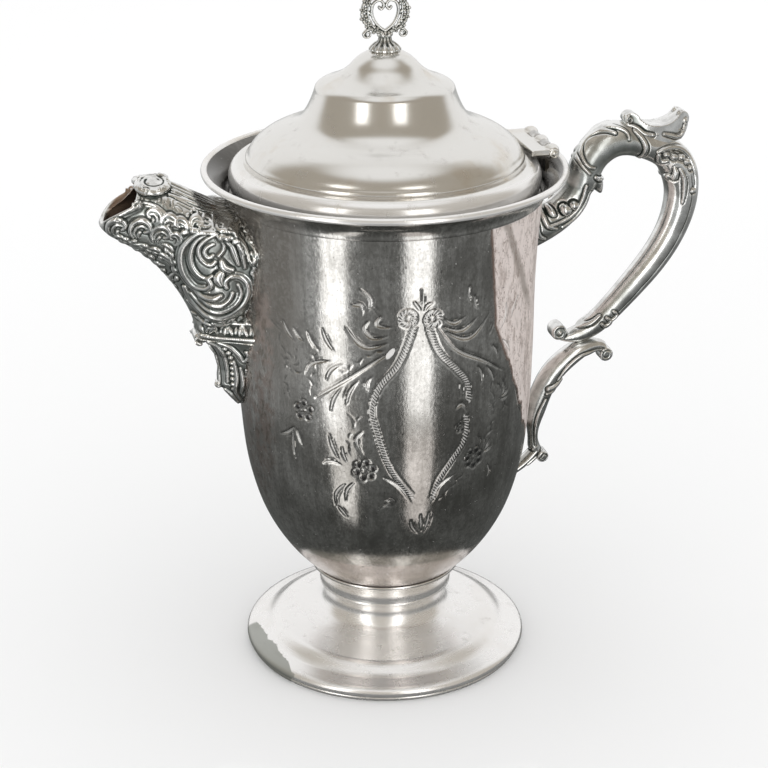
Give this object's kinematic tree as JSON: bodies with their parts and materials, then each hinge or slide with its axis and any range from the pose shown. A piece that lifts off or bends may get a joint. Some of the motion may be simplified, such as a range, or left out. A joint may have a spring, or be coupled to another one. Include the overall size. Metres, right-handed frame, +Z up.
{
  "type": "chocolate pot",
  "caption": "Footed cylindrical pot with a hinged domed lid, short cast spout and leafy scroll handle for serving hot chocolate.",
  "frame": {"origin": "middle of the ring that the foot stands on, on the pot's axis", "axes": "+Z up the pot's axis, -X towards the spout, +X towards the handle and the lid's hinge; the XZ plane is the plane of symmetry"},
  "size_m": [0.2373, 0.1398, 0.27],
  "materials": {
    "aged_silver": "satin, tarnished silver plate with engraving",
    "bright_silver": "polished silver plate, lightly worn",
    "cast_silver": "cast and chased silver plate, dark in the recesses",
    "raw_brass": "turned, unplated"
  },
  "bodies": {
    "pot": {"body_shell": "aged_silver", "flared_rim": "aged_silver", "rim_wire": "bright_silver", "lid_seat_ring": "aged_silver", "foot_collar": "bright_silver", "pedestal_foot": "bright_silver", "foot_edge_wire": "bright_silver", "spout": "cast_silver", "spout_drop": "cast_silver", "handle": "cast_silver", "thumb_rest": "cast_silver", "handle_bracket": "cast_silver", "hinge_body_leaf": "bright_silver"},
    "lid": {"lid_cover": "bright_silver", "lid_bezel": "bright_silver", "finial_base": "cast_silver", "finial_wreath": "cast_silver", "finial_stud": "raw_brass", "finial_washer": "raw_brass", "finial_nut": "raw_brass", "hinge_lid_leaf": "bright_silver", "hinge_pin": "bright_silver"}
  },
  "joints": [
    {"name": "lid_hinge", "type": "hinge", "parent": "pot", "child": "lid", "pos_m": [0.062, 0, 0.207], "axis": [0, 1, 0], "range_deg": [0, 100]}
  ]
}
